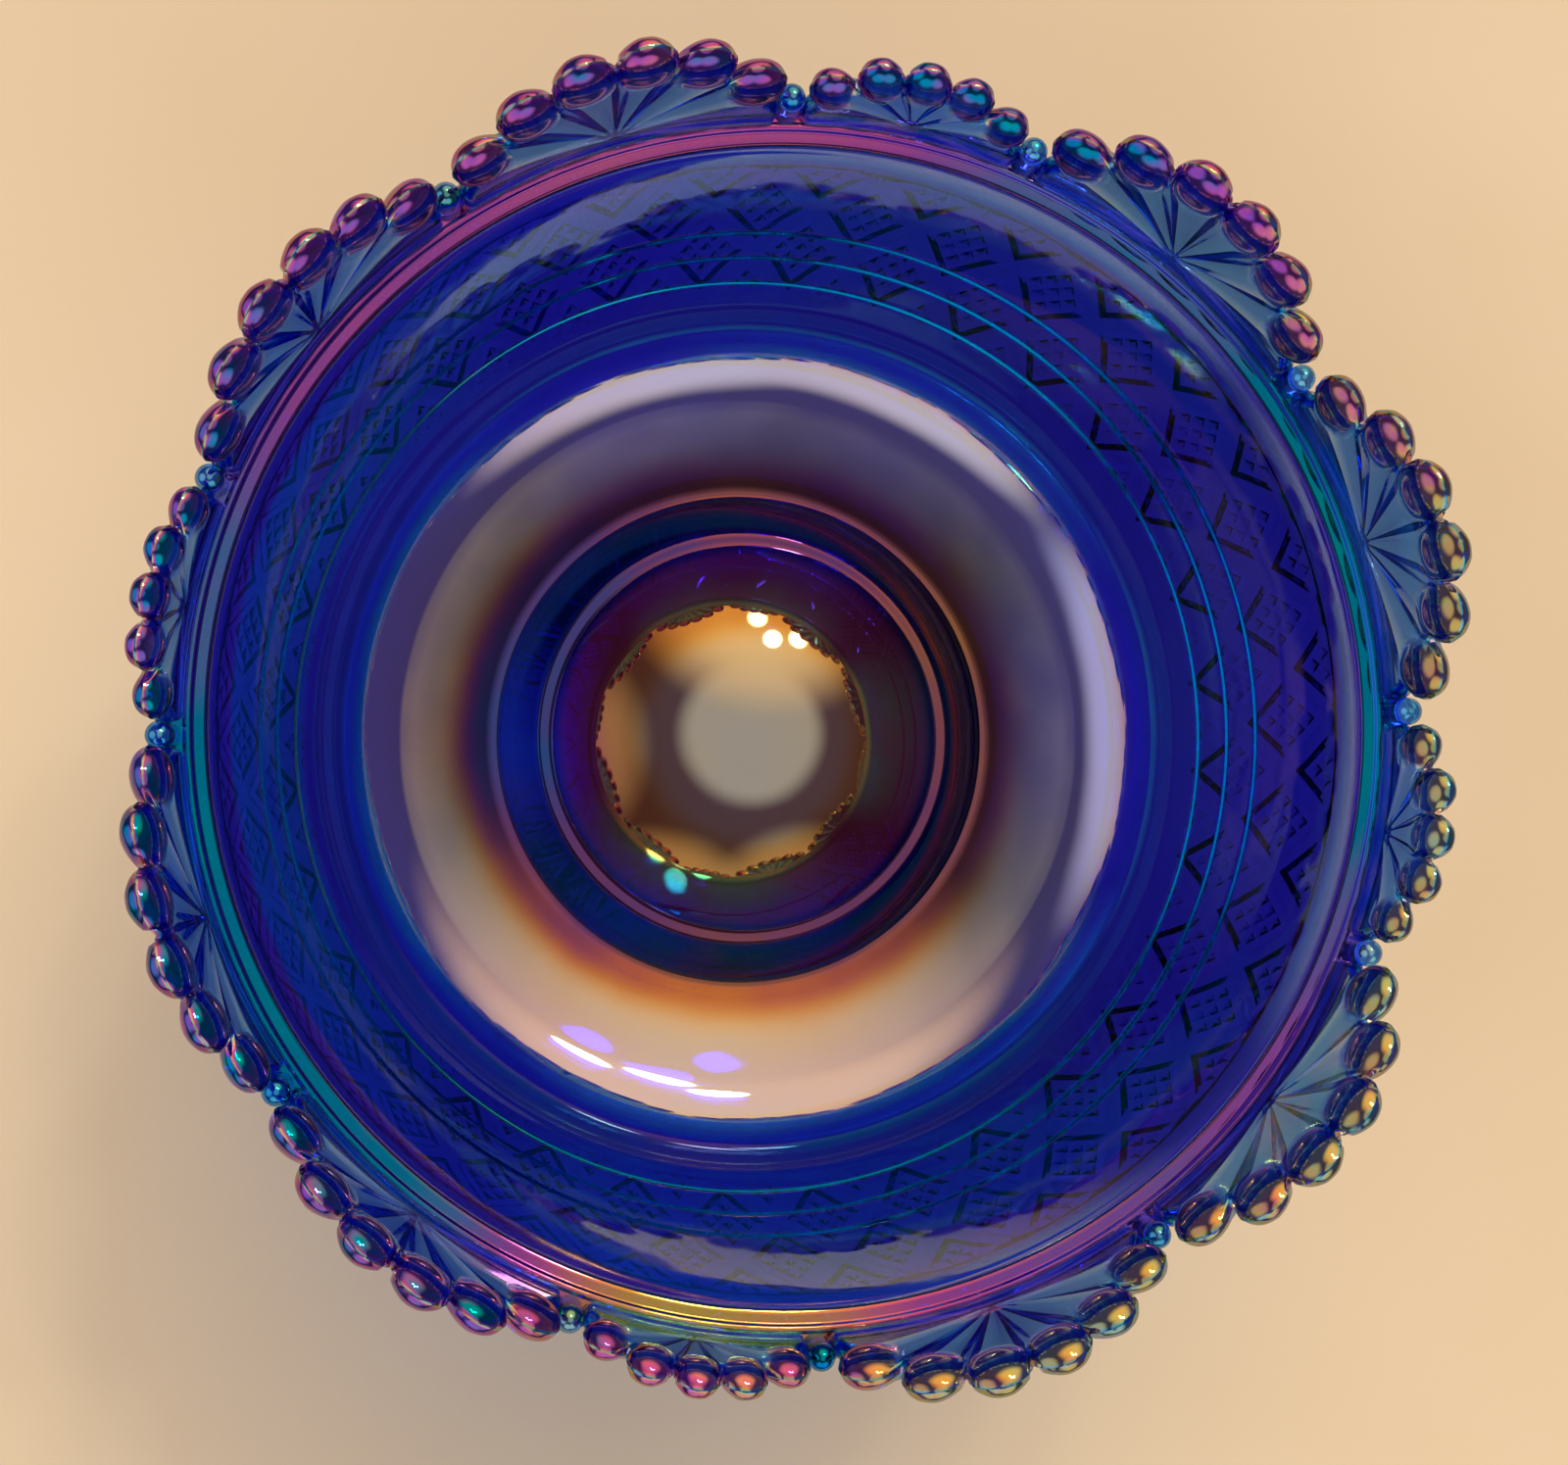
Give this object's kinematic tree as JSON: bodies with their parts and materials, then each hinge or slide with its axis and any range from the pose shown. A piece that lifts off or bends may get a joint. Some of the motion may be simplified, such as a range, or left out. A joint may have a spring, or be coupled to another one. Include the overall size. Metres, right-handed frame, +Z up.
{
  "type": "bowl",
  "caption": "Deep round pressed-glass bowl in iridescent cobalt blue, with a lozenge relief outside, a collar foot, and a scalloped beaded gallery round a lid seat",
  "frame": {"origin": "centre of the bottom of the bounding box, which is on the bowl's axis in the plane the foot stands on", "axes": "+Z up along the bowl's axis, out of its mouth; +X points at the meeting of a scallop of five beads and a scallop of six beads"},
  "size_m": [0.174, 0.174, 0.1042],
  "materials": {
    "body_glass": "clear cobalt-blue pressed glass with an iridescent film, glossy",
    "floor_glass": "the same glass over the foot, darker, with a gold and violet film",
    "foot_glass": "the same glass, thick and dark at the foot",
    "relief_glass": "the same glass, cut up by the lozenge relief",
    "seat_glass": "the same glass with a teal and magenta film on the lid seat",
    "fan_glass": "the same glass, thin and steel blue where light comes through the petals",
    "bead_glass": "the same glass with the strongest film, almost mirror-like"
  },
  "bodies": {
    "root": {"bowl_floor": "floor_glass", "bowl_wall": "body_glass", "bowl_well": "body_glass", "collar_foot": "foot_glass", "diamond_row_lower": "relief_glass", "diamond_row_middle": "relief_glass", "diamond_row_upper": "relief_glass", "edge_beads_01": "bead_glass", "edge_beads_02": "bead_glass", "edge_beads_03": "bead_glass", "edge_beads_04": "bead_glass", "edge_beads_05": "bead_glass", "edge_beads_06": "bead_glass", "edge_beads_07": "bead_glass", "edge_beads_08": "bead_glass", "edge_beads_09": "bead_glass", "edge_beads_10": "bead_glass", "edge_beads_11": "bead_glass", "edge_beads_12": "bead_glass", "half_diamond_row": "relief_glass", "lid_seat_ring": "seat_glass", "sawtooth_row": "relief_glass", "scallop_fan_01": "fan_glass", "scallop_fan_02": "fan_glass", "scallop_fan_03": "fan_glass", "scallop_fan_04": "fan_glass", "scallop_fan_05": "fan_glass", "scallop_fan_06": "fan_glass", "scallop_fan_07": "fan_glass", "scallop_fan_08": "fan_glass", "scallop_fan_09": "fan_glass", "scallop_fan_10": "fan_glass", "scallop_fan_11": "fan_glass", "scallop_fan_12": "fan_glass", "valley_pillars": "bead_glass"}
  },
  "joints": []
}
